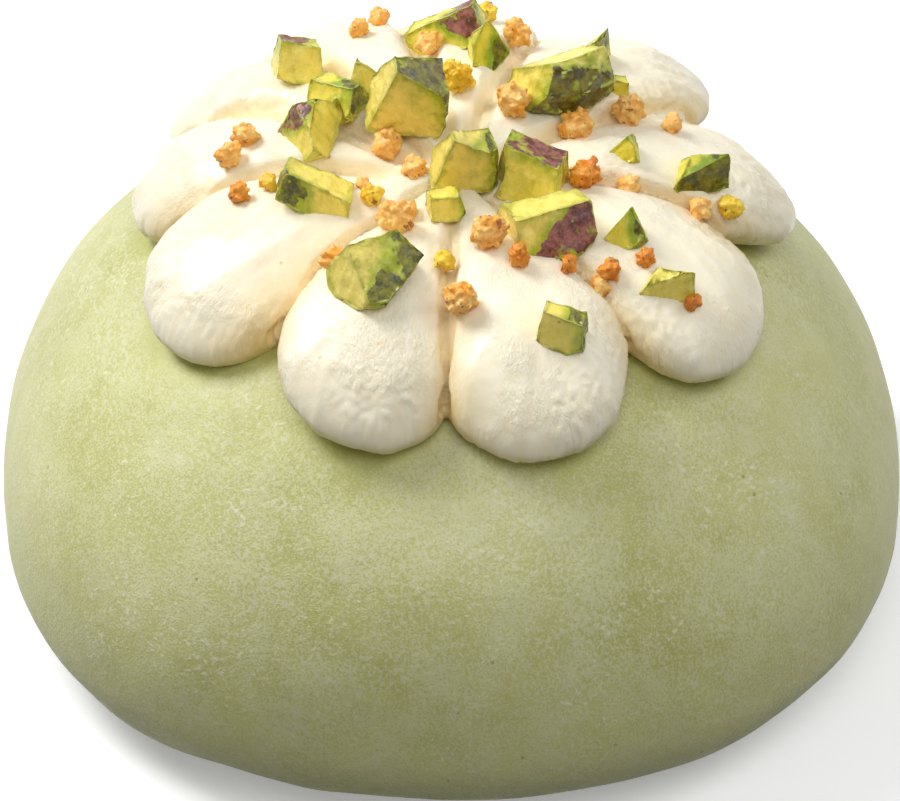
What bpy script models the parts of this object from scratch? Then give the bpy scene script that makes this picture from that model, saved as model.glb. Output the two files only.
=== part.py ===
"""A round mochi rice cake with a piped cream flower and chopped pistachios on top.

Units: metres in Blender, named sizes below in millimetres through MM.
Origin: the middle of the flat base, +Z up, -Y towards the front of the cake.
"""
import math

import bmesh
import bpy
from mathutils import Matrix, Vector
from mathutils.bvhtree import BVHTree

MM = 0.001
GAP = 0.3 * MM                    # clearance between pieces that touch
WELD = 0.01 * MM                  # corners nearer than this are one
SLIVER = 0.02 * MM                # edges shorter than this are closed up
SLOPE_STEP = 0.2 * MM             # step over which the dome's slope is taken
DOME_LIMIT = 0.999                # share of the radius beyond which the dome is not followed
ABOVE_ALL = 0.1                   # metres, higher than everything on the cake

# Mochi body: a turned, sagging bun with a flat base.
BODY_RADIUS = 32.0 * MM
BASE_RADIUS = 21.5 * MM
GIRTH_HEIGHT = 7.4 * MM           # height of the widest ring
DOME_RISE = 23.9 * MM             # from the widest ring to the top
SIDE_POWER = 2.25                 # roundness below the widest ring
DOME_POWER = 2.11                 # roundness above the widest ring
SQUARENESS = 0.040                # the hand-rolled plan is a little square
PLAN_WAVES = ((3, 0.7, 0.003), (5, 2.0, 0.002))   # count, phase in radians, share of radius
SIDE_RINGS = 8
DOME_RINGS = 15
BODY_SEGMENTS = 60

# Cream flower.
FLOWER_X = 0.3 * MM               # where the petals' creases meet
FLOWER_Y = -2.5 * MM
PETALS = (
    # name, tip azimuth in degrees, then tip radius, half width, bend, lift and tilt in mm
    ("front_left", 253, 22.4, 6.7, -0.8, 1.5, 0.9),
    ("front", 287, 23.0, 6.9, 0.5, 1.5, -0.5),
    ("front_right", 330, 22.8, 7.5, 1.2, 1.5, 0.3),
    ("right", 14, 23.0, 6.9, 0.8, 1.8, 0.9),
    ("back_right", 52, 23.0, 7.6, 0.4, 3.0, 0.9),
    ("back", 88, 22.4, 6.5, 0.0, 3.2, 0.5),
    ("back_left", 117, 22.4, 6.3, -0.4, 3.2, 0.5),
    ("left_back", 142, 22.2, 6.0, -0.8, 2.4, 0.7),
    ("left", 167, 21.4, 6.2, -1.0, 1.8, 0.8),
    ("left_front", 208, 21.6, 7.4, -1.4, 1.5, 1.0),
)
PETAL_THICKNESS = 3.7 * MM        # half the height of the round outer end
PETAL_START = 0.04                # share of the way from the centre to the tip
PETAL_NECK = 0.34                 # width at the inner end as a share of the stated width
PETAL_BELLY = 1.22                # width at the outer end as a share of the stated width
PETAL_INNER_HEIGHT = 0.62         # height at the inner end as a share of the thickness
PETAL_RISE = 0.5                  # how much of the thickness is gained towards the tip
PETAL_FILLING = 0.9               # power by which the width grows towards the tip
PETAL_SEGMENTS = 18
PETAL_RINGS = 13
MOUND_RADIUS = 9.0 * MM
MOUND_THICKNESS = 4.2 * MM
MOUND_SEGMENTS = 20
MOUND_RINGS = 10

# Chopped pistachios: each is a kernel cut by flat faces. A cut is (azimuth, elevation, share),
# in degrees about the kernel's own axes, and keeps that share of the kernel on its side.
CUT_STYLES = {
    "wedge": (
        (0, 0, 0.72), (180, 12, 0.62), (250, -8, 0.42), (90, 34, 0.55), (320, 60, 0.6), (60, -75, 0.5)),
    "half_moon": (
        (100, 58, 0.30), (90, 0, 0.5), (0, 14, 0.62), (182, 18, 0.6), (60, -80, 0.42)),
    "splinter": (
        (12, 22, 0.5), (186, 10, 0.56), (84, 28, 0.42), (262, 48, 0.38), (300, -25, 0.6),
        (0, -80, 0.45)),
    "block": (
        (0, 10, 0.62), (178, 4, 0.66), (92, 6, 0.58), (268, 18, 0.5), (40, 78, 0.46), (200, -80, 0.5)),
    "shard": (
        (20, 5, 0.55), (160, 20, 0.5), (275, 10, 0.36), (90, 40, 0.44), (230, 55, 0.5), (0, -78, 0.6)),
    "spike": (
        (0, 24, 0.44), (125, 20, 0.42), (238, 22, 0.4), (60, -70, 0.45), (300, 66, 0.78)),
    "slab": (
        (5, 0, 0.66), (175, 0, 0.62), (80, 20, 0.5), (262, 28, 0.46), (120, 74, 0.40), (0, -84, 0.42)),
}
KERNEL_LEVEL = 2                  # subdivisions of the kernel before it is cut
KERNEL_SPARE = 1.45               # the uncut kernel against the piece that is left
NEIGHBOUR_REACH = 0.75            # nuts nearer than this share of their sizes together may touch
NUTS = (
    # name, azimuth, radius mm, length, depth, height mm, turn, tilt, roll, style, sunk mm
    ("nut_tall", 142, 3.4, 4.6, 4.2, 7.0, 14, 0, 8, "wedge", 1.0),
    ("nut_top", 91, 12.4, 6.2, 3.4, 3.6, -8, 6, -20, "slab", 1.0),
    ("nut_moon", 38, 9.6, 6.4, 4.6, 4.8, 30, 0, 4, "half_moon", 0.9),
    ("nut_behind_moon", 45, 14.4, 2.8, 2.2, 2.8, 70, 0, 0, "shard", 0.6),
    ("nut_bit_back", 32, 13.4, 2.0, 1.6, 1.6, 10, 0, 0, "block", 0.4),
    ("nut_leaf", 76, 9.3, 2.5, 2.2, 4.2, 30, 0, -22, "shard", 0.7),
    ("nut_centre", 283, 3.9, 4.0, 2.8, 6.0, 24, 0, 0, "wedge", 1.2),
    ("nut_capped", 328, 6.1, 4.8, 4.2, 5.2, -14, 0, 0, "block", 1.2),
    ("nut_cracked", 310, 10.3, 5.6, 5.0, 4.6, 24, 0, 12, "slab", 1.1),
    ("nut_left", 209, 10.3, 5.5, 3.6, 3.0, -6, 0, 16, "block", 0.9),
    ("nut_peak", 170, 9.8, 5.0, 3.6, 3.1, -24, 0, -10, "spike", 0.9),
    ("nut_green_back", 149, 8.9, 3.9, 3.0, 3.8, -32, 0, 0, "slab", 0.8),
    ("nut_back_left", 138, 13.9, 3.4, 3.0, 4.0, 12, 0, 12, "block", 0.8),
    ("nut_hidden", 133, 8.4, 2.8, 2.6, 2.8, 40, 0, 0, "spike", 0.7),
    ("nut_front", 251, 14.0, 6.4, 4.4, 4.6, 36, 0, 6, "splinter", 1.0),
    ("nut_low", 293, 18.8, 3.3, 2.4, 3.6, -10, 0, 0, "block", 0.9),
    ("nut_thorn", 325, 14.6, 2.6, 1.9, 2.8, 15, 0, 0, "spike", 0.6),
    ("nut_right_low", 321, 18.8, 3.7, 2.6, 2.8, -4, 0, 0, "shard", 0.7),
    ("nut_right", 359, 17.0, 3.9, 3.2, 3.0, 12, 0, 0, "shard", 0.7),
    ("nut_crumb_green", 1, 12.0, 2.2, 1.5, 1.8, 0, 0, 0, "spike", 0.4),
    ("nut_small", 267, 6.2, 2.5, 2.1, 2.6, 18, 0, 0, "block", 0.7),
)


def clear_scene():
    for item in list(bpy.data.objects):
        bpy.data.objects.remove(item, do_unlink=True)


def make_material(name, color, roughness, metallic=0.0):
    material = bpy.data.materials.new(name)
    material.use_nodes = True
    shader = material.node_tree.nodes["Principled BSDF"]
    shader.inputs["Base Color"].default_value = (*color, 1.0)
    shader.inputs["Roughness"].default_value = roughness
    shader.inputs["Metallic"].default_value = metallic
    return material


def make_object(name, shape, material=None, smooth=True):
    mesh = bpy.data.meshes.new(name)
    shape.to_mesh(mesh)
    shape.free()
    if smooth:
        mesh.shade_smooth()
    item = bpy.data.objects.new(name, mesh)
    if material:
        mesh.materials.append(material)
    bpy.context.scene.collection.objects.link(item)
    return item


def make_guide(item):
    item.hide_render = True
    item.display_type = "WIRE"
    return item


def boolean(target, tool, operation):
    change = target.modifiers.new(f"{operation.lower()} {tool.name}", "BOOLEAN")
    change.operation = operation
    change.solver = "EXACT"
    change.object = tool


def plan_factor(angle):
    """How far the body's plan stands out from a circle at this azimuth."""
    factor = 1.0 + SQUARENESS * (1.0 - math.cos(4.0 * angle)) / 2.0
    for count, phase, share in PLAN_WAVES:
        factor += share * math.sin(count * angle + phase)
    return factor


def dome_height(x, y):
    """Height of the mochi's upper skin above the point (x, y)."""
    radius = math.hypot(x, y) / plan_factor(math.atan2(y, x))
    share = min(radius / BODY_RADIUS, DOME_LIMIT)
    return GIRTH_HEIGHT + DOME_RISE * (1.0 - share ** DOME_POWER) ** (1.0 / DOME_POWER)


def on_dome(x, y, height):
    """The point that stands this far off the mochi's skin, along its normal."""
    step = SLOPE_STEP
    slope_x = (dome_height(x + step, y) - dome_height(x - step, y)) / (2.0 * step)
    slope_y = (dome_height(x, y + step) - dome_height(x, y - step)) / (2.0 * step)
    normal = Vector((-slope_x, -slope_y, 1.0)).normalized()
    return Vector((x, y, dome_height(x, y))) + normal * height


def body_profile(grow):
    """Points (radius, height) from the middle of the base up the side to the top."""
    points = [(0.0, -grow), (BASE_RADIUS * 0.5, -grow)]
    reach = BODY_RADIUS - BASE_RADIUS
    for ring in range(SIDE_RINGS):
        turn = math.pi / 2.0 * ring / SIDE_RINGS
        radius = BASE_RADIUS + grow + reach * math.sin(turn) ** (2.0 / SIDE_POWER)
        height = (GIRTH_HEIGHT + grow) * (1.0 - math.cos(turn) ** (2.0 / SIDE_POWER)) - grow
        points.append((radius, height))
    for ring in range(DOME_RINGS):
        turn = math.pi / 2.0 * ring / DOME_RINGS
        radius = (BODY_RADIUS + grow) * math.cos(turn) ** (2.0 / DOME_POWER)
        height = GIRTH_HEIGHT + (DOME_RISE + grow) * math.sin(turn) ** (2.0 / DOME_POWER)
        points.append((radius, height))
    points.append((0.0, GIRTH_HEIGHT + DOME_RISE + grow))
    return points


def body_shape(grow=0.0):
    shape = bmesh.new()
    corners = [shape.verts.new((radius, 0.0, height)) for radius, height in body_profile(grow)]
    edges = [shape.edges.new(pair) for pair in zip(corners[:-1], corners[1:])]
    bmesh.ops.spin(
        shape, geom=corners + edges, cent=(0, 0, 0), axis=(0, 0, 1),
        angle=2.0 * math.pi, steps=BODY_SEGMENTS, use_merge=True)
    bmesh.ops.remove_doubles(shape, verts=shape.verts, dist=WELD)
    for corner in shape.verts:
        factor = plan_factor(math.atan2(corner.co.y, corner.co.x))
        corner.co.x *= factor
        corner.co.y *= factor
    bmesh.ops.recalc_face_normals(shape, faces=shape.faces)
    return shape


def petal_shape(azimuth, tip_radius, half_width, bend, lift, tilt):
    """A drop of cream, narrow at the flower's centre and round at the outer end.

    Its tilt raises the side that laps over the next petal.
    """
    tip_angle = math.radians(azimuth)
    tip = Vector((tip_radius * math.cos(tip_angle), tip_radius * math.sin(tip_angle))) * MM
    centre = Vector((FLOWER_X, FLOWER_Y))
    line = tip - centre
    along = line.normalized()
    side = Vector((-along.y, along.x))
    shape = bmesh.new()
    bmesh.ops.create_uvsphere(
        shape, u_segments=PETAL_SEGMENTS, v_segments=PETAL_RINGS, radius=1.0)
    for corner in shape.verts:
        across, up, run = corner.co
        share = PETAL_START + (1.0 - PETAL_START) * (run + 1.0) / 2.0
        fullness = PETAL_NECK + (PETAL_BELLY - PETAL_NECK) * share ** PETAL_FILLING
        sideways = across * half_width * MM * fullness + bend * MM * math.sin(math.pi * share)
        place = centre + line * share + side * sideways
        middle = (lift - tilt * across * share) * MM
        height = middle + up * PETAL_THICKNESS * (PETAL_INNER_HEIGHT + PETAL_RISE * share)
        corner.co = on_dome(place.x, place.y, height)
    bmesh.ops.recalc_face_normals(shape, faces=shape.faces)
    return shape


def mound_shape():
    """The low heap of cream where the petals meet."""
    shape = bmesh.new()
    bmesh.ops.create_uvsphere(
        shape, u_segments=MOUND_SEGMENTS, v_segments=MOUND_RINGS, radius=1.0)
    for corner in shape.verts:
        across, deep, up = corner.co
        corner.co = on_dome(
            FLOWER_X + across * MOUND_RADIUS, FLOWER_Y + deep * MOUND_RADIUS,
            up * MOUND_THICKNESS)
    bmesh.ops.recalc_face_normals(shape, faces=shape.faces)
    return shape


def make_cream(material):
    cream = make_object("cream_flower", mound_shape(), material)
    for name, *sizes in PETALS:
        petal = make_guide(make_object(f"petal_{name}", petal_shape(*sizes)))
        boolean(cream, petal, "UNION")
    bed = make_guide(make_object("cream_bed", body_shape(grow=GAP)))
    boolean(cream, bed, "DIFFERENCE")
    return cream


def surface_tree(item):
    """A search tree over the item's finished surface."""
    graph = bpy.context.evaluated_depsgraph_get()
    return BVHTree.FromObject(item, graph)


def nut_shape(length, depth, height, style, grow):
    """A pistachio kernel, cut by the flat faces of its style."""
    kernel = Vector((length, depth, height)) * MM / 2.0 * KERNEL_SPARE
    outside = kernel + Vector((grow, grow, grow))
    shape = bmesh.new()
    bmesh.ops.create_icosphere(shape, subdivisions=KERNEL_LEVEL, radius=1.0)
    bmesh.ops.scale(shape, vec=outside, verts=shape.verts)
    for azimuth, elevation, share in CUT_STYLES[style]:
        level = math.cos(math.radians(elevation))
        normal = Vector((
            level * math.cos(math.radians(azimuth)), level * math.sin(math.radians(azimuth)),
            math.sin(math.radians(elevation))))
        reach = math.sqrt(sum((kernel[axis] * normal[axis]) ** 2 for axis in range(3)))
        cut = bmesh.ops.bisect_plane(
            shape, geom=shape.verts[:] + shape.edges[:] + shape.faces[:],
            plane_co=normal * (reach * share + grow), plane_no=normal, clear_outer=True)
        rim = [part for part in cut["geom_cut"] if isinstance(part, bmesh.types.BMEdge)]
        bmesh.ops.contextual_create(shape, geom=rim)
    bmesh.ops.dissolve_degenerate(shape, edges=shape.edges, dist=SLIVER)
    bmesh.ops.recalc_face_normals(shape, faces=shape.faces)
    return shape


def nut_place(tree, azimuth, radius, height, turn, tilt, roll, sunk):
    """Where a nut stands: on the cream under its middle, sunk in by the stated depth."""
    angle = math.radians(azimuth)
    x = radius * MM * math.cos(angle)
    y = radius * MM * math.sin(angle)
    ground, normal = tree.ray_cast(Vector((x, y, ABOVE_ALL)), Vector((0, 0, -1)))[:2]
    lean = Vector((0, 0, 1)).rotation_difference((normal + Vector((0, 0, 1))).normalized())
    spin = Matrix.Rotation(math.radians(turn), 4, "Z")
    lie = Matrix.Rotation(math.radians(tilt), 4, "X") @ Matrix.Rotation(math.radians(roll), 4, "Y")
    middle = ground + normal * (height / 2.0 - sunk) * MM
    return Matrix.Translation(middle) @ lean.to_matrix().to_4x4() @ spin @ lie


def make_nuts(cream, material):
    tree = surface_tree(cream)
    neighbours = []
    for name, azimuth, radius, length, depth, height, turn, tilt, roll, style, sunk in NUTS:
        largest = max(length, depth, height)
        place = nut_place(tree, azimuth, radius, height, turn, tilt, roll, sunk)
        form = nut_shape(length, depth, height, style, 0.0)
        nut = make_object(name, form, material, smooth=False)
        nut.matrix_world = place
        pocket = make_guide(make_object(
            f"{name}_pocket", nut_shape(length, depth, height, style, GAP)))
        pocket.matrix_world = place
        boolean(cream, pocket, "DIFFERENCE")
        for other_pocket, other_place, other_size in neighbours:
            distance = (other_place.translation - place.translation).length
            if distance < (other_size + largest) * MM * NEIGHBOUR_REACH:
                boolean(nut, other_pocket, "DIFFERENCE")
        neighbours.append((pocket, place, largest))


def main():
    clear_scene()
    rice_dough = make_material("green rice dough", (0.55, 0.60, 0.36), 0.6)
    whipped_cream = make_material("whipped cream", (0.92, 0.87, 0.74), 0.45)
    pistachio = make_material("pistachio", (0.50, 0.52, 0.08), 0.4)
    make_object("mochi_body", body_shape(), rice_dough)
    cream = make_cream(whipped_cream)
    make_nuts(cream, pistachio)


main()
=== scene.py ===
"""The looks of a mochi rice cake: matcha dough dusted with starch, a piped cream flower,
chopped pistachios and golden crumbs, on a pale floor under soft light.

Lengths are metres; sizes written in millimetres are turned with MM.
"""
import math
import random

import bmesh
import bpy
from mathutils import Euler, Matrix, Vector, noise
from mathutils.bvhtree import BVHTree


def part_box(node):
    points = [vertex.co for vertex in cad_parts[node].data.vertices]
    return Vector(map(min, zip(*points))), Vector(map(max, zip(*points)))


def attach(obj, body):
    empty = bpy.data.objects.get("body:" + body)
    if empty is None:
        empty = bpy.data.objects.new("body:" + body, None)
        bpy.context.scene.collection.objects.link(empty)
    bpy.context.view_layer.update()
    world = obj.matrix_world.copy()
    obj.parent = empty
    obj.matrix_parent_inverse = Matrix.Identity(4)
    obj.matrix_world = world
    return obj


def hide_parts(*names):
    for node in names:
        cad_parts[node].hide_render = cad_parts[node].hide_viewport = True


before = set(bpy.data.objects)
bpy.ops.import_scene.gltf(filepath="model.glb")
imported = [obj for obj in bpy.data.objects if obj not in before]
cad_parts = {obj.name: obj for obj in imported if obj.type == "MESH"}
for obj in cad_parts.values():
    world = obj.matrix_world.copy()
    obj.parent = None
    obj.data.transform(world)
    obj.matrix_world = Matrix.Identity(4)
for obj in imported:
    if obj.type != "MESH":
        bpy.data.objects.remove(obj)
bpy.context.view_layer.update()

MM = 0.001

# The mochi's form, the same as its solid's.
BODY_LOW, BODY_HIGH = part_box("mochi_body")
BODY_RADIUS = (BODY_HIGH.x - BODY_LOW.x) / 2.0
BODY_TOP = BODY_HIGH.z
BASE_RADIUS = 21.5 * MM
GIRTH_HEIGHT = 7.4 * MM
DOME_RISE = BODY_TOP - GIRTH_HEIGHT
SIDE_POWER = 2.25
DOME_POWER = 2.11
SQUARENESS = 0.040
PLAN_WAVES = ((3, 0.7, 0.003), (5, 2.0, 0.002))
SIDE_RINGS = 34
DOME_RINGS = 80
BODY_SEGMENTS = 300

# The cream flower.
FLOWER_X = 0.3 * MM
FLOWER_Y = -2.5 * MM
PETALS = (
    # name, tip azimuth in degrees, then tip radius, half width, bend, lift and tilt in mm
    ("front_left", 253, 22.4, 6.7, -0.8, 1.5, 0.9),
    ("front", 287, 23.0, 6.9, 0.5, 1.5, -0.5),
    ("front_right", 330, 22.8, 7.5, 1.2, 1.5, 0.3),
    ("right", 14, 23.0, 6.9, 0.8, 1.8, 0.9),
    ("back_right", 52, 23.0, 7.6, 0.4, 3.0, 0.9),
    ("back", 88, 22.4, 6.5, 0.0, 3.2, 0.5),
    ("back_left", 117, 22.4, 6.3, -0.4, 3.2, 0.5),
    ("left_back", 142, 22.2, 6.0, -0.8, 2.4, 0.7),
    ("left", 167, 21.4, 6.2, -1.0, 1.8, 0.8),
    ("left_front", 208, 21.6, 7.4, -1.4, 1.5, 1.0),
)
PETAL_THICKNESS = 3.7 * MM
PETAL_START = 0.04
PETAL_NECK = 0.34
PETAL_BELLY = 1.22
PETAL_INNER_HEIGHT = 0.62
CREAM_VOXEL = 0.225 * MM
CREASE_DEPTH = 0.65               # mm by which the folds between petals are drawn in
CRUMB_VOXEL = 0.10 * MM
BURIED_DEPTH = 1.2 * MM           # cream further than this under the dough's skin is left out
NUT_DETAIL = 0.42 * MM            # longest edge of a finished nut's mesh
NUT_BEVEL = 0.05                  # rounding of a nut's cut edges as a share of its thickness
GRAIN_RADIUS = (0.20, 0.32)       # mm, smallest and largest grain in a crumb

# Camera: over the front edge of the table, looking a little more than a third of the way down.
CAMERA_ELEVATION = math.radians(37.0)
CAMERA_DISTANCE = 400.0 * MM
CAMERA_TARGET = Vector((0.0, 0.0, 15.0 * MM))
FRAME_WIDTH = 63.6 * MM           # what the picture's width spans at the target
FRAME_SHIFT = -0.0155             # share of the picture's width
FLOOR_BOUNCE = (0.10, 0.10, 0.08, 1.0)    # the floor as the cake is lit by it
FLOOR_SEEN = (0.88, 0.88, 0.88, 1.0)      # the floor as it is seen
WORLD_LIGHT = 0.17                # strength of the even light from all round


def srgb(red, green, blue):
    """A colour written as 0 to 255 screen values, as the linear values that Blender mixes."""
    linear = []
    for value in (red, green, blue):
        share = value / 255.0
        linear.append(share / 12.92 if share <= 0.04045 else ((share + 0.055) / 1.055) ** 2.4)
    return (*linear, 1.0)


# ---------------------------------------------------------------- form of the mochi

def plan_factor(angle):
    """How far the body's plan stands out from a circle at this azimuth."""
    factor = 1.0 + SQUARENESS * (1.0 - math.cos(4.0 * angle)) / 2.0
    for count, phase, share in PLAN_WAVES:
        factor += share * math.sin(count * angle + phase)
    return factor


def dome_height(x, y):
    """Height of the mochi's upper skin above the point (x, y)."""
    radius = math.hypot(x, y) / plan_factor(math.atan2(y, x))
    share = min(radius / BODY_RADIUS, 0.999)
    return GIRTH_HEIGHT + DOME_RISE * (1.0 - share ** DOME_POWER) ** (1.0 / DOME_POWER)


def dome_normal(x, y):
    step = 0.2 * MM
    slope_x = (dome_height(x + step, y) - dome_height(x - step, y)) / (2.0 * step)
    slope_y = (dome_height(x, y + step) - dome_height(x, y - step)) / (2.0 * step)
    return Vector((-slope_x, -slope_y, 1.0)).normalized()


def on_dome(x, y, height):
    """The point that stands this far off the mochi's skin, along its normal."""
    return Vector((x, y, dome_height(x, y))) + dome_normal(x, y) * height


def body_profile():
    """Points (radius, height) from the middle of the base up the side to the top."""
    points = [(BASE_RADIUS * step / 8.0, 0.0) for step in range(8)]
    reach = BODY_RADIUS - BASE_RADIUS
    for ring in range(SIDE_RINGS):
        turn = math.pi / 2.0 * ring / SIDE_RINGS
        radius = BASE_RADIUS + reach * math.sin(turn) ** (2.0 / SIDE_POWER)
        points.append((radius, GIRTH_HEIGHT * (1.0 - math.cos(turn) ** (2.0 / SIDE_POWER))))
    for ring in range(DOME_RINGS):
        turn = math.pi / 2.0 * ring / DOME_RINGS
        radius = BODY_RADIUS * math.cos(turn) ** (2.0 / DOME_POWER)
        points.append((radius, GIRTH_HEIGHT + DOME_RISE * math.sin(turn) ** (2.0 / DOME_POWER)))
    points.append((0.0, BODY_TOP))
    return points


# ---------------------------------------------------------------- helpers for pieces

def new_piece(name, shape, *materials, smooth=True):
    mesh = bpy.data.meshes.new(name)
    shape.to_mesh(mesh)
    shape.free()
    if smooth:
        mesh.shade_smooth()
    for material in materials:
        mesh.materials.append(material)
    piece = bpy.data.objects.new(name, mesh)
    bpy.context.scene.collection.objects.link(piece)
    return piece


def apply_modifiers(piece):
    """Puts the finished form of the piece into its own mesh."""
    graph = bpy.context.evaluated_depsgraph_get()
    mesh = bpy.data.meshes.new_from_object(piece.evaluated_get(graph), depsgraph=graph)
    piece.modifiers.clear()
    piece.data = mesh


def set_point_values(piece, name, values):
    layer = piece.data.attributes.new(name, "FLOAT", "POINT")
    layer.data.foreach_set("value", values)


def smooth_step(low, high, value):
    share = min(max((value - low) / (high - low), 0.0), 1.0)
    return share * share * (3.0 - 2.0 * share)


# ---------------------------------------------------------------- shader helpers

class Nodes:
    """Adds nodes to a material's or a group's tree and links them."""

    def __init__(self, tree):
        self.tree = tree

    def add(self, kind, **settings):
        node = self.tree.nodes.new(kind)
        for key, value in settings.items():
            setattr(node, key, value)
        return node

    def link(self, source, target):
        self.tree.links.new(source, target)

    def feed(self, socket, value):
        if isinstance(value, bpy.types.NodeSocket):
            self.link(value, socket)
        else:
            socket.default_value = value

    def noise(self, vector, scale, detail=3.0, roughness=0.5, distortion=0.0):
        node = self.add("ShaderNodeTexNoise")
        self.link(vector, node.inputs["Vector"])
        node.inputs["Scale"].default_value = scale
        node.inputs["Detail"].default_value = detail
        node.inputs["Roughness"].default_value = roughness
        node.inputs["Distortion"].default_value = distortion
        return node.outputs["Fac"]

    def cells(self, vector, scale, feature="F1", randomness=1.0):
        node = self.add("ShaderNodeTexVoronoi", feature=feature)
        self.link(vector, node.inputs["Vector"])
        node.inputs["Scale"].default_value = scale
        node.inputs["Randomness"].default_value = randomness
        return node.outputs["Distance"]

    def stretch(self, vector, scale, turn=(0.0, 0.0, 0.0)):
        node = self.add("ShaderNodeMapping")
        self.link(vector, node.inputs["Vector"])
        node.inputs["Scale"].default_value = scale
        node.inputs["Rotation"].default_value = turn
        return node.outputs["Vector"]

    def ramp(self, value, low, high, bottom=0.0, top=1.0, smooth=True):
        node = self.add("ShaderNodeMapRange")
        if smooth:
            node.interpolation_type = "SMOOTHSTEP"
        self.feed(node.inputs["Value"], value)
        for key, number in (("From Min", low), ("From Max", high), ("To Min", bottom), ("To Max", top)):
            self.feed(node.inputs[key], number)
        return node.outputs["Result"]

    def math(self, operation, first, second=0.0, clamp=False):
        node = self.add("ShaderNodeMath", operation=operation, use_clamp=clamp)
        self.feed(node.inputs[0], first)
        self.feed(node.inputs[1], second)
        return node.outputs[0]

    def mix(self, share, first, second, blend="MIX"):
        node = self.add("ShaderNodeMix", data_type="RGBA", blend_type=blend)
        self.feed(node.inputs["Factor"], share)
        self.feed(node.inputs["A"], first)
        self.feed(node.inputs["B"], second)
        return node.outputs["Result"]

    def attribute(self, name):
        return self.add("ShaderNodeAttribute", attribute_name=name).outputs["Fac"]

    def bump(self, height, distance, strength=1.0, normal=None):
        node = self.add("ShaderNodeBump")
        node.inputs["Strength"].default_value = strength
        node.inputs["Distance"].default_value = distance
        self.link(height, node.inputs["Height"])
        if normal:
            self.link(normal, node.inputs["Normal"])
        return node.outputs["Normal"]


def new_material(name):
    material = bpy.data.materials.new(name)
    material.use_nodes = True
    nodes = Nodes(material.node_tree)
    shader = material.node_tree.nodes["Principled BSDF"]
    place = nodes.add("ShaderNodeTexCoord").outputs["Object"]
    return material, nodes, shader, place


def soften(shader, weight, radius, scale):
    """Faint light under the surface."""
    shader.inputs["Subsurface Weight"].default_value = weight
    shader.inputs["Subsurface Radius"].default_value = radius
    shader.inputs["Subsurface Scale"].default_value = scale


def new_group(name, inputs, outputs):
    """A shader node group: its nodes, its named inputs and its named outputs."""
    tree = bpy.data.node_groups.new(name, "ShaderNodeTree")
    for label, kind, value in inputs:
        socket = tree.interface.new_socket(name=label, in_out="INPUT", socket_type=kind)
        if value is not None:
            socket.default_value = value
    for label, kind in outputs:
        tree.interface.new_socket(name=label, in_out="OUTPUT", socket_type=kind)
    nodes = Nodes(tree)
    entry = nodes.add("NodeGroupInput")
    exit_node = nodes.add("NodeGroupOutput")
    return tree, nodes, entry.outputs, exit_node.inputs


def make_grain_group():
    """Fine irregular grains of one size, gathered into drifts by a soft cloud."""
    tree, nodes, given, made = new_group(
        "Starch Grains",
        (("Vector", "NodeSocketVector", None), ("Grain Scale", "NodeSocketFloat", 3000.0),
         ("Cloud Scale", "NodeSocketFloat", 300.0), ("Amount", "NodeSocketFloat", 0.5)),
        (("Mask", "NodeSocketFloat"),))
    grain = nodes.add("ShaderNodeTexNoise")
    nodes.link(given["Vector"], grain.inputs["Vector"])
    nodes.link(given["Grain Scale"], grain.inputs["Scale"])
    grain.inputs["Detail"].default_value = 2.0
    cloud = nodes.add("ShaderNodeTexNoise")
    nodes.link(given["Vector"], cloud.inputs["Vector"])
    nodes.link(given["Cloud Scale"], cloud.inputs["Scale"])
    cloud.inputs["Detail"].default_value = 3.0
    gathered = nodes.ramp(cloud.outputs["Fac"], 0.30, 0.72, -0.09, 0.09)
    level = nodes.math("ADD", grain.outputs["Fac"], gathered)
    level = nodes.math("ADD", level, given["Amount"])
    nodes.link(nodes.ramp(level, 1.06, 1.26), made["Mask"])
    return tree


def place_group(nodes, tree, **values):
    node = nodes.add("ShaderNodeGroup")
    node.node_tree = tree
    for key, value in values.items():
        nodes.feed(node.inputs[key.replace("_", " ")], value)
    return node.outputs


# ---------------------------------------------------------------- materials

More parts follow.
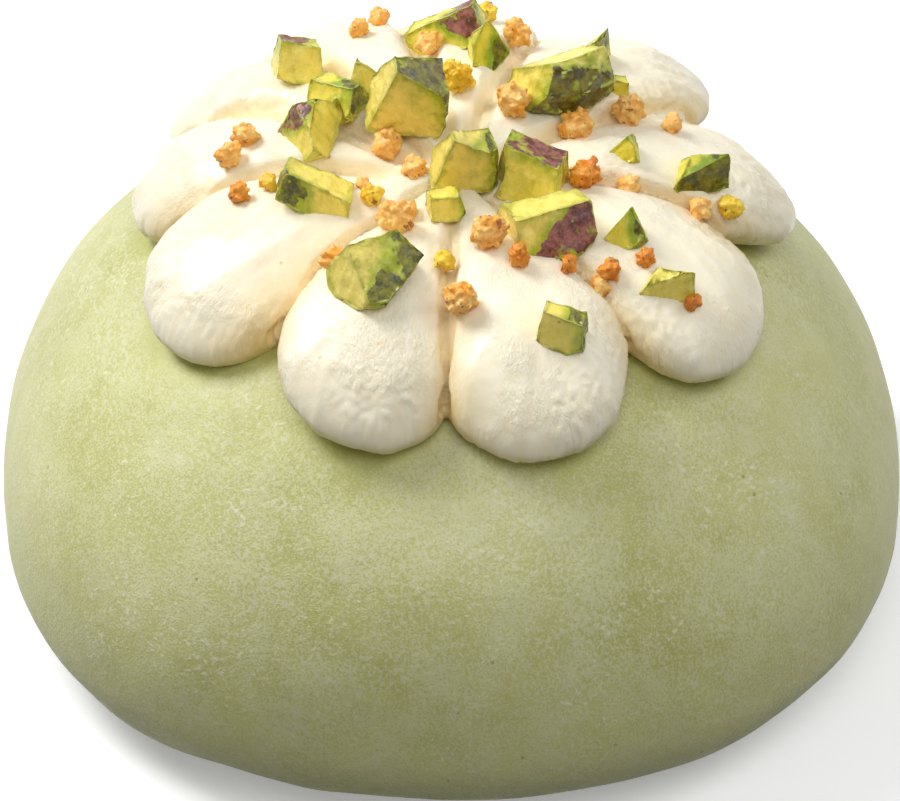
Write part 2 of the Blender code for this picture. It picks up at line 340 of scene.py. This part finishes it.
def mochi_material(grains):
    material, nodes, shader, place = new_material("dusted_matcha_dough")
    pale = srgb(207, 207, 142)
    deep = srgb(178, 178, 100)
    dark = srgb(128, 136, 58)
    starch = srgb(237, 236, 212)
    cloud = nodes.ramp(nodes.noise(place, 80.0, 3.0, 0.5), 0.30, 0.70)
    color = nodes.mix(nodes.math("MULTIPLY", cloud, 0.6), deep, pale)
    mottle = nodes.ramp(nodes.noise(place, 650.0, 4.0, 0.7), 0.36, 0.66)
    color = nodes.mix(nodes.math("MULTIPLY", mottle, 0.35), color, pale)
    # Painted shade: a darker, greener band is painted along the cream's edge, where the petals overhang
    # the dough.
    under = nodes.attribute("cream_edge_shade")
    color = nodes.mix(nodes.math("MULTIPLY", under, 0.45), color, srgb(178, 182, 88))
    fleck = nodes.ramp(nodes.cells(place, 420.0), 0.075, 0.035)
    fleck_gate = nodes.ramp(nodes.noise(place, 240.0, 1.0), 0.46, 0.58)
    color = nodes.mix(nodes.math("MULTIPLY", fleck, fleck_gate), color, dark)
    fine = place_group(
        nodes, grains, Vector=place, Grain_Scale=6200.0, Cloud_Scale=260.0, Amount=0.64)["Mask"]
    strokes = place_group(
        nodes, grains, Vector=nodes.stretch(place, (1.0, 0.55, 0.8), (0.0, 0.6, 0.9)),
        Grain_Scale=4200.0, Cloud_Scale=210.0, Amount=0.58)["Mask"]
    clumps = place_group(
        nodes, grains, Vector=place, Grain_Scale=2600.0, Cloud_Scale=190.0, Amount=0.47)["Mask"]
    haze = nodes.ramp(nodes.noise(place, 150.0, 6.0, 0.75, 0.4), 0.50, 0.80, 0.0, 0.30)
    dust = nodes.math("MULTIPLY", fine, 0.34)
    dust = nodes.math("MAXIMUM", dust, nodes.math("MULTIPLY", strokes, 0.42))
    dust = nodes.math("MAXIMUM", dust, nodes.math("MULTIPLY", clumps, 0.68))
    dust = nodes.math("ADD", dust, haze, True)
    dust = nodes.math("MULTIPLY", dust, nodes.attribute("dusted"))
    color = nodes.mix(dust, color, starch)
    nodes.link(color, shader.inputs["Base Color"])
    nodes.link(nodes.ramp(dust, 0.0, 0.6, 0.40, 0.75), shader.inputs["Roughness"])
    shader.inputs["Specular IOR Level"].default_value = 0.4
    soften(shader, 0.2, (1.0, 1.0, 0.6), 2.5 * MM)
    skin = nodes.noise(place, 2400.0, 4.0, 0.7)
    relief = nodes.bump(skin, 0.10 * MM, 0.55)
    nodes.link(nodes.bump(dust, 0.05 * MM, 0.6, relief), shader.inputs["Normal"])
    return material


def cream_material():
    material, nodes, shader, place = new_material("piped_cream")
    white = srgb(253, 244, 220)
    butter_and_shade = srgb(243, 215, 150)
    strokes = nodes.add("ShaderNodeAttribute", attribute_name="strokes").outputs["Vector"]
    drag = nodes.noise(strokes, 1.6, 4.0, 0.6, 0.3)
    cloud = nodes.ramp(nodes.noise(place, 170.0, 3.0, 0.5, 0.3), 0.36, 0.70)
    # Painted shade: the cream is painted butter-yellow in the folds between petals and low down near the
    # dough, as if shaded there; the cloud and drag noise add real tone changes.
    share = nodes.math("MULTIPLY", nodes.attribute("valley_shade"), 0.85)
    share = nodes.math("ADD", share, nodes.math("MULTIPLY", cloud, 0.14))
    share = nodes.math("ADD", share, nodes.ramp(drag, 0.55, 0.30, 0.0, 0.16), True)
    color = nodes.mix(share, white, butter_and_shade)
    fleck = nodes.ramp(nodes.cells(place, 210.0), 0.05, 0.025)
    fleck_gate = nodes.ramp(nodes.noise(place, 120.0, 1.0), 0.55, 0.62)
    color = nodes.mix(nodes.math("MULTIPLY", fleck, fleck_gate), color, srgb(236, 190, 92))
    nodes.link(color, shader.inputs["Base Color"])
    wet = nodes.noise(place, 380.0, 3.0, 0.6)
    nodes.link(nodes.ramp(wet, 0.32, 0.70, 0.24, 0.46), shader.inputs["Roughness"])
    shader.inputs["Specular IOR Level"].default_value = 0.5
    soften(shader, 0.2, (1.0, 0.85, 0.6), 2.5 * MM)
    torn_gate = nodes.ramp(nodes.noise(place, 200.0, 2.0), 0.44, 0.64, 0.10, 1.0)
    torn = nodes.math("MULTIPLY", nodes.noise(strokes, 4.6, 4.0, 0.66, 0.5), torn_gate)
    satin = nodes.math("MULTIPLY", nodes.noise(place, 1300.0, 3.0, 0.6), 0.25)
    relief = nodes.math("ADD", torn, satin)
    nodes.link(nodes.bump(relief, 0.32 * MM, 0.6), shader.inputs["Normal"])
    return material


def nut_material():
    """Pistachio: skin, green rim and yellow heart follow the depth under the kernel's skin."""
    material, nodes, shader, place = new_material("cut_pistachio")
    depth = nodes.attribute("depth")
    purple = nodes.attribute("purple_skin")
    warm = nodes.attribute("warm")
    wobble = nodes.ramp(nodes.noise(place, 650.0, 3.0, 0.6), 0.3, 0.7, -0.10, 0.10)
    level = nodes.math("ADD", depth, wobble)
    heart = nodes.mix(warm, srgb(234, 220, 66), srgb(255, 232, 118))
    rim = nodes.mix(warm, srgb(132, 166, 12), srgb(184, 190, 24))
    flesh = nodes.mix(nodes.ramp(level, 0.15, 0.55), rim, heart)
    border = nodes.attribute("border")
    edge_wobble = nodes.ramp(nodes.noise(place, 900.0, 3.0, 0.6), 0.3, 0.7, -0.45, 0.35)
    near_border = nodes.ramp(nodes.math("ADD", border, edge_wobble), 0.35, 0.95)
    flesh = nodes.mix(nodes.math("MULTIPLY", near_border, 0.50), flesh, srgb(134, 158, 14))
    streak = nodes.noise(nodes.stretch(place, (1.0, 1.0, 0.25), (0.5, 0.3, 0.0)), 1500.0, 3.0, 0.6)
    flesh = nodes.mix(nodes.ramp(streak, 0.45, 0.75, 0.0, 0.28), flesh, srgb(252, 236, 150))
    flesh = nodes.mix(nodes.ramp(streak, 0.55, 0.30, 0.0, 0.22), flesh, srgb(112, 130, 24))
    green_skin = nodes.mix(
        nodes.ramp(nodes.noise(place, 1400.0, 3.0, 0.7), 0.35, 0.65), srgb(62, 66, 6), srgb(138, 134, 14))
    red_skin = nodes.mix(
        nodes.ramp(nodes.noise(place, 1100.0, 4.0, 0.7), 0.36, 0.64), srgb(92, 36, 40), srgb(168, 108, 96))
    skin = nodes.mix(purple, green_skin, red_skin)
    covered = nodes.ramp(level, 0.10, 0.04)
    color = nodes.mix(covered, flesh, skin)
    nodes.link(color, shader.inputs["Base Color"])
    gloss = nodes.noise(place, 900.0, 3.0, 0.6)
    nodes.link(nodes.ramp(gloss, 0.3, 0.7, 0.18, 0.46), shader.inputs["Roughness"])
    soften(shader, 0.2, (1.0, 0.9, 0.3), 1.5 * MM)
    grain = nodes.noise(place, 1700.0, 4.0, 0.65)
    height = nodes.math("ADD", grain, nodes.math("MULTIPLY", streak, 0.6))
    nodes.link(nodes.bump(height, 0.18 * MM, 0.6), shader.inputs["Normal"])
    return material


def crumb_material(name, light, body, dark):
    material, nodes, shader, place = new_material(name)
    # Painted highlight: raised bumps are painted in the light tone, while the hollows keep the darker body
    # tone.
    raised_highlight = nodes.attribute("lump_highlight")
    cloud = nodes.ramp(nodes.noise(place, 700.0, 4.0, 0.65), 0.34, 0.66)
    color = nodes.mix(cloud, srgb(*body), srgb(*light))
    color = nodes.mix(nodes.ramp(raised_highlight, 0.55, 1.0), color, srgb(*light))
    speck = nodes.ramp(nodes.noise(place, 1300.0, 3.0, 0.7), 0.60, 0.68)
    color = nodes.mix(nodes.math("MULTIPLY", speck, 0.85), color, srgb(*dark))
    nodes.link(color, shader.inputs["Base Color"])
    gloss = nodes.noise(place, 1200.0, 2.0)
    nodes.link(nodes.ramp(gloss, 0.3, 0.7, 0.30, 0.60), shader.inputs["Roughness"])
    soften(shader, 0.2, (1.0, 0.6, 0.2), 1.0 * MM)
    grain = nodes.noise(place, 2600.0, 3.0, 0.6)
    nodes.link(nodes.bump(grain, 0.12 * MM, 0.6), shader.inputs["Normal"])
    return material


# ---------------------------------------------------------------- mochi body

def petal_reach(angle):
    """How near this azimuth is to a petal, from 0 between petals to 1 on a petal's line."""
    best = 0.0
    for _, azimuth, _, half_width, *_ in PETALS:
        apart = abs((angle - math.radians(azimuth) + math.pi) % (2.0 * math.pi) - math.pi)
        width = half_width * MM / (21.0 * MM)
        best = max(best, 1.0 - min(apart / width, 1.0) ** 2)
    return best


def make_mochi(material):
    shape = bmesh.new()
    corners = [shape.verts.new((radius, 0.0, height)) for radius, height in body_profile()]
    edges = [shape.edges.new(pair) for pair in zip(corners[:-1], corners[1:])]
    bmesh.ops.spin(
        shape, geom=corners + edges, cent=(0, 0, 0), axis=(0, 0, 1),
        angle=2.0 * math.pi, steps=BODY_SEGMENTS, use_merge=True)
    bmesh.ops.remove_doubles(shape, verts=shape.verts, dist=0.001 * MM)
    for corner in shape.verts:
        factor = plan_factor(math.atan2(corner.co.y, corner.co.x))
        corner.co.x *= factor
        corner.co.y *= factor
    bmesh.ops.recalc_face_normals(shape, faces=shape.faces)
    shape.normal_update()
    for corner in shape.verts:
        if corner.co.z < 0.1 * MM:
            continue
        rise = smooth_step(0.0, 3.0 * MM, corner.co.z)
        low_side = smooth_step(9.0 * MM, 1.5 * MM, corner.co.z)
        place = corner.co * 1000.0
        wave = noise.noise(place * 0.09) * 0.14 + noise.noise(place * 0.28) * 0.06
        fold = noise.noise(Vector((place.x * 0.16, place.y * 0.16, place.z * 0.4))) * 0.22 * low_side
        corner.co += corner.normal * (wave + fold - 0.10) * rise * MM
    piece = new_piece("mochi_skin", shape, material)
    under, dusted = [], []
    for corner in piece.data.vertices:
        radius = math.hypot(corner.co.x, corner.co.y)
        angle = math.atan2(corner.co.y, corner.co.x)
        edge = (18.0 + 4.0 * petal_reach(angle)) * MM
        # Painted shade: near marks the band just outside the cream's edge, which is painted darker as if
        # shaded by the petals; the same band also gets less starch.
        near = smooth_step(edge + 2.2 * MM, edge, radius) if corner.co.z > GIRTH_HEIGHT else 0.0
        under.append(near)
        dusted.append(1.0 - 0.8 * near)
    set_point_values(piece, "cream_edge_shade", under)
    set_point_values(piece, "dusted", dusted)
    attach(piece, "root")
    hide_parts("mochi_body")
    return piece


# ---------------------------------------------------------------- cream flower

def petal_frame(spec):
    """The petal's start, its line to the tip and the direction across it."""
    azimuth, tip_radius = spec[1], spec[2]
    tip_angle = math.radians(azimuth)
    tip = Vector((math.cos(tip_angle), math.sin(tip_angle))) * tip_radius * MM
    centre = Vector((FLOWER_X, FLOWER_Y))
    line = tip - centre
    along = line.normalized()
    return centre, line, Vector((-along.y, along.x))


def petal_width(spec, share):
    """Half the petal's width at this share of its length."""
    return spec[3] * MM * (PETAL_NECK + (PETAL_BELLY - PETAL_NECK) * share ** 0.9)


def petal_point(spec, across, up, run):
    """Where a point of the unit ball lands on this petal."""
    bend, lift, tilt = spec[4:]
    centre, line, side = petal_frame(spec)
    share = PETAL_START + (1.0 - PETAL_START) * (run + 1.0) / 2.0
    sideways = across * petal_width(spec, share) + bend * MM * math.sin(math.pi * share)
    place = centre + line * share + side * sideways
    middle = (lift - tilt * across * share) * MM
    height = middle + up * PETAL_THICKNESS * (PETAL_INNER_HEIGHT + 0.5 * share)
    return on_dome(place.x, place.y, height)


def petal_shape(spec):
    shape = bmesh.new()
    bmesh.ops.create_uvsphere(shape, u_segments=72, v_segments=60, radius=1.0)
    for corner in shape.verts:
        across, up, run = corner.co
        corner.co = petal_point(spec, across, up, run)
    bmesh.ops.recalc_face_normals(shape, faces=shape.faces)
    return shape


def mound_shape():
    shape = bmesh.new()
    bmesh.ops.create_uvsphere(shape, u_segments=60, v_segments=30, radius=1.0)
    for corner in shape.verts:
        across, deep, up = corner.co
        corner.co = on_dome(
            FLOWER_X + across * 9.0 * MM, FLOWER_Y + deep * 9.0 * MM, up * 4.2 * MM)
    bmesh.ops.recalc_face_normals(shape, faces=shape.faces)
    return shape


def nearest_petal(place):
    """(number, share along, share across) of the petal on top here, and its lead in mm."""
    best, second = None, -100.0
    for index, spec in enumerate(PETALS):
        bend, lift, tilt = spec[4:]
        centre, line, side = petal_frame(spec)
        flat = Vector((place.x, place.y)) - centre
        share = flat.dot(line) / line.length_squared
        if share < -0.05:
            continue
        inner = min(max(share, 0.0), 1.0)
        across = (flat.dot(side) - bend * MM * math.sin(math.pi * inner)) / petal_width(spec, inner)
        run = 2.0 * (inner - PETAL_START) / (1.0 - PETAL_START) - 1.0
        roundness = 1.0 - run * run - across * across
        top = lift - tilt * across * inner
        top += PETAL_THICKNESS / MM * math.sqrt(max(roundness, 0.0)) * (PETAL_INNER_HEIGHT + 0.5 * inner)
        if roundness < 0.0:
            top += roundness * 6.0
        if best is None or top > best[0]:
            second = best[0] if best else second
            best = (top, index, share, across)
        else:
            second = max(second, top)
    return (*best[1:], best[0] - second)


def add_to(joined, shape):
    """Moves a finished shape into the joined one."""
    mesh = bpy.data.meshes.new("part")
    shape.to_mesh(mesh)
    shape.free()
    joined.from_mesh(mesh)
    bpy.data.meshes.remove(mesh)


def ridge(place):
    """Noise folded into sharp crests, from 0 to 1."""
    return 1.0 - min(abs(noise.noise(place)) * 2.6, 1.0)


def cream_relief(index, share, across, place):
    """How far dragged cream stands out here, in mm: soft swells, drawn lines and torn flecks."""
    seed = Vector((index * 17.3, index * 5.1, index * 2.9))
    drawn = Vector((share * 2.4, across * 1.7 + share * 0.9, 0.0)) + seed
    ridges = (ridge(drawn) - 0.5) * 0.22 + (ridge(drawn * 2.3 + seed) - 0.5) * 0.07
    soft = noise.noise(place * 0.20 + seed) * 0.24
    gate = smooth_step(-0.40, 0.45, noise.noise(place * 0.17 + seed * 2.0))
    fleck = Vector((share * 30.0, across * 13.0, 0.0)) + seed
    torn = abs(noise.noise(fleck)) * 0.19 + noise.noise(fleck * 2.1) * 0.08
    return ridges + soft + (torn - 0.05) * gate


def make_cream(material):
    joined = bmesh.new()
    for spec in PETALS:
        add_to(joined, petal_shape(spec))
    add_to(joined, mound_shape())
    piece = new_piece("cream_petals", joined, material)
    remesh = piece.modifiers.new("one skin", "REMESH")
    remesh.mode = "VOXEL"
    remesh.voxel_size = CREAM_VOXEL
    relax = piece.modifiers.new("soften steps", "SMOOTH")
    relax.factor = 0.5
    relax.iterations = 2
    apply_modifiers(piece)
    shape = bmesh.new()
    shape.from_mesh(piece.data)
    buried = [
        corner for corner in shape.verts
        if corner.co.z - dome_height(corner.co.x, corner.co.y) < -BURIED_DEPTH]
    bmesh.ops.delete(shape, geom=buried, context="VERTS")
    rim = [edge for edge in shape.edges if edge.is_boundary]
    bmesh.ops.holes_fill(shape, edges=rim, sides=0)
    bmesh.ops.recalc_face_normals(shape, faces=shape.faces)
    shape.normal_update()
    valley_shade, strokes = [], []
    for corner in shape.verts:
        index, share, across, lead = nearest_petal(corner.co)
        height = (corner.co.z - dome_height(corner.co.x, corner.co.y)) / MM
        place = corner.co / MM
        inner = min(max(share, 0.0), 1.0)
        # Painted shade: these values set where yellow shade is painted: in the folds under an overlapping
        # petal, on a petal's sides and low down by the dough. The fold value also carves the folds into
        # the cream.
        crease_shade = smooth_step(0.40, 0.92, across if PETALS[index][6] > 0.0 else -across)
        crease_shade = max(crease_shade, smooth_step(0.62, 1.0, abs(across)) * 0.8)
        low = smooth_step(3.4, 1.2, height)
        fold = smooth_step(1.3, 0.0, lead) * smooth_step(0.4, 1.6, height)
        crease_shade = max(crease_shade, fold)
        valley_shade.append(min(crease_shade * (0.45 + 0.4 * inner) + low * 0.25, 1.0))
        strokes.extend((share * 14.0 + index * 9.0, across * 7.0, index * 3.0))
        if height > -0.3:
            relief = cream_relief(index, share, across, place) * smooth_step(-0.3, 0.8, height)
            relief -= fold * CREASE_DEPTH
            corner.co += corner.normal * relief * MM
    shape.to_mesh(piece.data)
    shape.free()
    piece.data.shade_smooth()
    set_point_values(piece, "valley_shade", valley_shade)
    layer = piece.data.attributes.new("strokes", "FLOAT_VECTOR", "POINT")
    layer.data.foreach_set("vector", strokes)
    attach(piece, "root")
    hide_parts("cream_flower")
    return piece


# ---------------------------------------------------------------- pistachio pieces

NUTS = (
    # node, skin azimuth, skin elevation in degrees, purple share of the skin, warmth, skin cover
    ("nut_tall", 335, 28, 0.1, 0.9, 1.5),
    ("nut_top", 265, 62, 1.0, 0.2, 1.5),
    ("nut_moon", 285, -15, 0.12, 0.7, 1.6),
    ("nut_behind_moon", 330, 20, 0.0, 0.1, 0.8),
    ("nut_bit_back", 90, 30, 0.0, 0.1, 0.0),
    ("nut_leaf", 330, 0, 0.0, 0.0, 0.7),
    ("nut_centre", 350, 0, 0.0, 0.9, 0.8),
    ("nut_capped", 40, 60, 1.0, 0.5, 1.2),
    ("nut_cracked", 315, -10, 1.0, 0.9, 1.3),
    ("nut_left", 215, 0, 0.0, 0.8, 1.5),
    ("nut_peak", 170, 40, 0.9, 0.6, 1.5),
    ("nut_green_back", 345, 45, 0.0, 0.2, 1.2),
    ("nut_back_left", 130, 60, 0.8, 0.8, 0.8),
    ("nut_hidden", 90, 20, 0.0, 0.9, 0.2),
    ("nut_front", 330, 12, 0.0, 0.8, 1.6),
    ("nut_low", 340, 20, 0.0, 0.8, 1.1),
    ("nut_thorn", 300, 20, 0.0, 0.1, 0.5),
    ("nut_right_low", 100, 0, 0.0, 0.6, 0.4),
    ("nut_right", 300, 0, 0.0, 0.1, 0.8),
    ("nut_crumb_green", 90, 30, 0.0, 0.0, 0.6),
    ("nut_small", 0, 10, 0.0, 0.6, 0.8),
)


def edge_distance(place, first, second):
    """How far the place is from the straight edge between two corners."""
    line = second - first
    share = min(max((place - first).dot(line) / max(line.length_squared, 1e-12), 0.0), 1.0)
    return (place - first - line * share).length


def make_nut(node, azimuth, elevation, purple, warm, cover, index, material):
    shape = bmesh.new()
    shape.from_mesh(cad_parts[node].data)
    bmesh.ops.remove_doubles(shape, verts=shape.verts, dist=0.005 * MM)
    bmesh.ops.dissolve_limit(
        shape, angle_limit=math.radians(4.0), verts=shape.verts, edges=shape.edges)
    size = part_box(node)[1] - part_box(node)[0]
    bevel = min(size) * NUT_BEVEL
    edges = [(edge.verts[0].co.copy(), edge.verts[1].co.copy()) for edge in shape.edges]
    bmesh.ops.bevel(
        shape, geom=shape.edges[:], offset=bevel, offset_type="OFFSET", segments=2,
        profile=0.5, affect="EDGES", material=-1, clamp_overlap=True)
    bmesh.ops.triangulate(shape, faces=shape.faces)
    for _ in range(4):
        long_edges = [edge for edge in shape.edges if edge.calc_length() > NUT_DETAIL]
        if not long_edges:
            break
        bmesh.ops.subdivide_edges(shape, edges=long_edges, cuts=1, use_grid_fill=False)
        bmesh.ops.triangulate(shape, faces=shape.faces)
    bmesh.ops.remove_doubles(shape, verts=shape.verts, dist=0.002 * MM)
    bmesh.ops.recalc_face_normals(shape, faces=shape.faces)
    shape.normal_update()
    level = math.radians(elevation)
    turn = math.radians(azimuth)
    out = Vector((math.cos(level) * math.cos(turn), math.cos(level) * math.sin(turn), math.sin(level)))
    reach = [corner.co.dot(out) for corner in shape.verts]
    top, bottom = max(reach), min(reach)
    rng = Vector((index * 7.7, 0.0, index * 3.1))
    for corner in shape.verts:
        place = corner.co * 1000.0 + rng
        craggy = noise.noise(place * 1.1) * 0.14 + noise.noise(place * 2.6) * 0.07
        craggy += noise.noise(place * 5.5) * 0.03
        corner.co += corner.normal * (craggy - 0.08) * MM
    piece = new_piece(f"{node}_cut", shape, material, smooth=False)
    piece.data.shade_smooth()
    piece.data.set_sharp_from_angle(angle=math.radians(50.0))
    depth, border = [], []
    for corner in piece.data.vertices:
        nearest = min(edge_distance(corner.co, *ends) for ends in edges)
        border.append(smooth_step(0.14, 0.0, nearest / max(size)))
        share = (top - corner.co.dot(out)) / (top - bottom)
        facing = smooth_step(0.35, 0.75, corner.normal.dot(out))
        skin = smooth_step(0.42, 0.20, share) * facing * cover
        depth.append(max(0.14 + share * 0.9 - skin * 0.5, 0.0))
    set_point_values(piece, "depth", depth)
    set_point_values(piece, "border", border)
    set_point_values(piece, "purple_skin", [purple] * len(depth))
    set_point_values(piece, "warm", [warm] * len(depth))
    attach(piece, "root")
    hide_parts(node)
    return piece


# ---------------------------------------------------------------- crumbs

CRUMBS = {
    # kind: (azimuth in degrees, radius mm, size mm) of each crumb
    "golden": (
        (177, 15.0, 2.2), (171, 14.0, 2.1), (180, 4.8, 2.8), (221, 3.0, 2.2), (245, 9.2, 3.0),
        (236, 13.5, 1.9), (273, 15.0, 2.9), (285, 10.2, 3.1), (36, 5.3, 2.8), (18, 8.7, 3.0),
        (32, 12.4, 1.9), (21, 13.2, 2.7), (17, 16.0, 1.6), (352, 12.3, 2.0), (308, 15.9, 1.8),
        (107, 17.0, 1.7), (116, 14.6, 1.6), (95, 11.0, 2.1), (72, 13.2, 2.6), (349, 17.1, 1.9),
        (213, 7.1, 0.9), (246, 6.9, 1.3),
    ),
    "amber": (
        (351, 9.3, 2.7), (339, 9.5, 1.9), (291, 12.6, 1.8), (304, 14.0, 1.4), (314, 15.7, 1.7),
        (322, 16.8, 1.4), (197, 14.8, 1.7), (322, 20.5, 1.2),
    ),
    "yellow": (
        (196, 12.6, 1.5), (222, 7.2, 1.7), (266, 11.3, 1.6), (355, 18.9, 2.0), (86, 5.6, 2.9),
        (81, 16.5, 1.8), (300, 8.4, 1.5),
    ),
}


def crumb_shape(random_state, size):
    """A cluster of small rough grains stuck together."""
    cluster = bmesh.new()
    grains = int(12.0 + 9.0 * (size / MM) ** 1.4)
    for _ in range(grains):
        direction = Vector([random_state.gauss(0, 1) for _ in range(3)])
        direction.normalize()
        offset = direction * size * random_state.uniform(0.32, 0.43)
        offset.z *= 0.8
        radius = random_state.uniform(*GRAIN_RADIUS) * MM
        ball = bmesh.ops.create_icosphere(cluster, subdivisions=1, radius=radius)
        for corner in ball["verts"]:
            corner.co += offset
    core = bmesh.ops.create_icosphere(cluster, subdivisions=2, radius=size * 0.38)
    for corner in core["verts"]:
        corner.co.z *= 0.8
    return cluster


def make_crumbs(kind, places, tree, material, seed):
    random_state = random.Random(seed)
    joined = bmesh.new()
    for azimuth, radius, size in places:
        angle = math.radians(azimuth)
        x = radius * MM * math.cos(angle)
        y = radius * MM * math.sin(angle)
        ground, normal = tree.ray_cast(Vector((x, y, 0.1)), Vector((0, 0, -1)))[:2]
        cluster = crumb_shape(random_state, size * MM)
        spin = Euler([random_state.uniform(0, math.tau) for _ in range(3)]).to_matrix()
        middle = ground + normal * size * MM * 0.34
        bmesh.ops.transform(
            cluster, matrix=Matrix.Translation(middle) @ spin.to_4x4(), verts=cluster.verts)
        add_to(joined, cluster)
    piece = new_piece(f"crumbs_{kind}", joined, material)
    remesh = piece.modifiers.new("one skin", "REMESH")
    remesh.mode = "VOXEL"
    remesh.voxel_size = CRUMB_VOXEL
    apply_modifiers(piece)
    shape = bmesh.new()
    shape.from_mesh(piece.data)
    bmesh.ops.smooth_vert(
        shape, verts=shape.verts, factor=0.5, use_axis_x=True, use_axis_y=True, use_axis_z=True)
    shape.normal_update()
    lump_highlights = []
    for corner in shape.verts:
        place = corner.co * 1000.0
        rough = noise.noise(place * 2.6) * 0.10 + noise.noise(place * 6.5) * 0.10
        corner.co += corner.normal * rough * MM
        # This value is high where the crumb's skin bulges out; it places the crumb's painted highlight.
        lump_highlights.append(min(max(0.5 + rough * 2.5, 0.0), 1.0))
    shape.to_mesh(piece.data)
    shape.free()
    piece.data.shade_smooth()
    set_point_values(piece, "lump_highlight", lump_highlights)
    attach(piece, "root")
    return piece


# ---------------------------------------------------------------- stage

def make_floor():
    """A plain pale floor that throws little light back up under the cake."""
    shape = bmesh.new()
    bmesh.ops.create_grid(shape, x_segments=1, y_segments=1, size=3.0)
    material = bpy.data.materials.new("plain_floor")
    material.use_nodes = True
    nodes = Nodes(material.node_tree)
    shader = material.node_tree.nodes["Principled BSDF"]
    path = nodes.add("ShaderNodeLightPath")
    seen = nodes.math("MAXIMUM", path.outputs["Is Camera Ray"], path.outputs["Is Glossy Ray"])
    color = nodes.mix(seen, FLOOR_BOUNCE, FLOOR_SEEN)
    nodes.link(color, shader.inputs["Base Color"])
    shader.inputs["Emission Color"].default_value = (1.0, 1.0, 1.0, 1.0)
    nodes.link(nodes.math("MULTIPLY", seen, 0.30), shader.inputs["Emission Strength"])
    shader.inputs["Roughness"].default_value = 0.9
    shader.inputs["Specular IOR Level"].default_value = 0.1
    floor = new_piece("floor", shape, material, smooth=False)


def make_lamp(name, azimuth, elevation, distance, size, power):
    turn = math.radians(azimuth)
    level = math.radians(elevation)
    place = CAMERA_TARGET + distance * Vector((
        math.cos(level) * math.cos(turn), math.cos(level) * math.sin(turn), math.sin(level)))
    light = bpy.data.lights.new(name, "AREA")
    light.size = size
    light.energy = power
    lamp = bpy.data.objects.new(name, light)
    lamp.location = place
    lamp.rotation_euler = (CAMERA_TARGET - place).to_track_quat("-Z", "Y").to_euler()
    bpy.context.scene.collection.objects.link(lamp)


def make_world():
    world = bpy.data.worlds.new("soft_studio")
    world.use_nodes = True
    nodes = Nodes(world.node_tree)
    background = world.node_tree.nodes["Background"]
    path = nodes.add("ShaderNodeLightPath")
    seen = nodes.math("MAXIMUM", path.outputs["Is Camera Ray"], path.outputs["Is Glossy Ray"])
    nodes.link(nodes.ramp(seen, 0.0, 1.0, WORLD_LIGHT, 1.0, smooth=False), background.inputs["Strength"])
    background.inputs["Color"].default_value = (1.0, 1.0, 1.0, 1.0)
    bpy.context.scene.world = world


def make_camera():
    camera = bpy.data.cameras.new("camera")
    holder = bpy.data.objects.new("camera", camera)
    bpy.context.scene.collection.objects.link(holder)
    back = Vector((0.0, -math.cos(CAMERA_ELEVATION), math.sin(CAMERA_ELEVATION)))
    holder.location = CAMERA_TARGET + back * CAMERA_DISTANCE
    holder.rotation_euler = (math.pi / 2.0 - CAMERA_ELEVATION, 0.0, 0.0)
    camera.sensor_width = 36.0
    camera.lens = camera.sensor_width * CAMERA_DISTANCE / FRAME_WIDTH
    camera.shift_y = FRAME_SHIFT
    camera.clip_start = 0.01
    bpy.context.scene.camera = holder


# ---------------------------------------------------------------- build

make_camera()
bpy.context.scene.view_settings.view_transform = "Standard"
make_world()
make_floor()
make_lamp("key", azimuth=155, elevation=48, distance=0.6, size=0.28, power=3.3)
make_lamp("fill", azimuth=285, elevation=60, distance=0.8, size=0.5, power=2.3)
make_lamp("side", azimuth=15, elevation=38, distance=0.8, size=0.4, power=1.5)

grain_group = make_grain_group()
make_mochi(mochi_material(grain_group))
cream = make_cream(cream_material())
pistachio = nut_material()
for number, row in enumerate(NUTS):
    make_nut(*row, number, pistachio)
cream_tree = BVHTree.FromObject(cream, bpy.context.evaluated_depsgraph_get())
CRUMB_LOOKS = {
    "golden": crumb_material("golden_crumb", (252, 206, 124), (240, 166, 58), (150, 74, 8)),
    "amber": crumb_material("amber_crumb", (236, 160, 44), (210, 118, 12), (96, 44, 4)),
    "yellow": crumb_material("yellow_crumb", (250, 216, 70), (230, 178, 18), (112, 84, 6)),
}
for number, (kind, places) in enumerate(CRUMBS.items()):
    make_crumbs(kind, places, cream_tree, CRUMB_LOOKS[kind], number + 1)
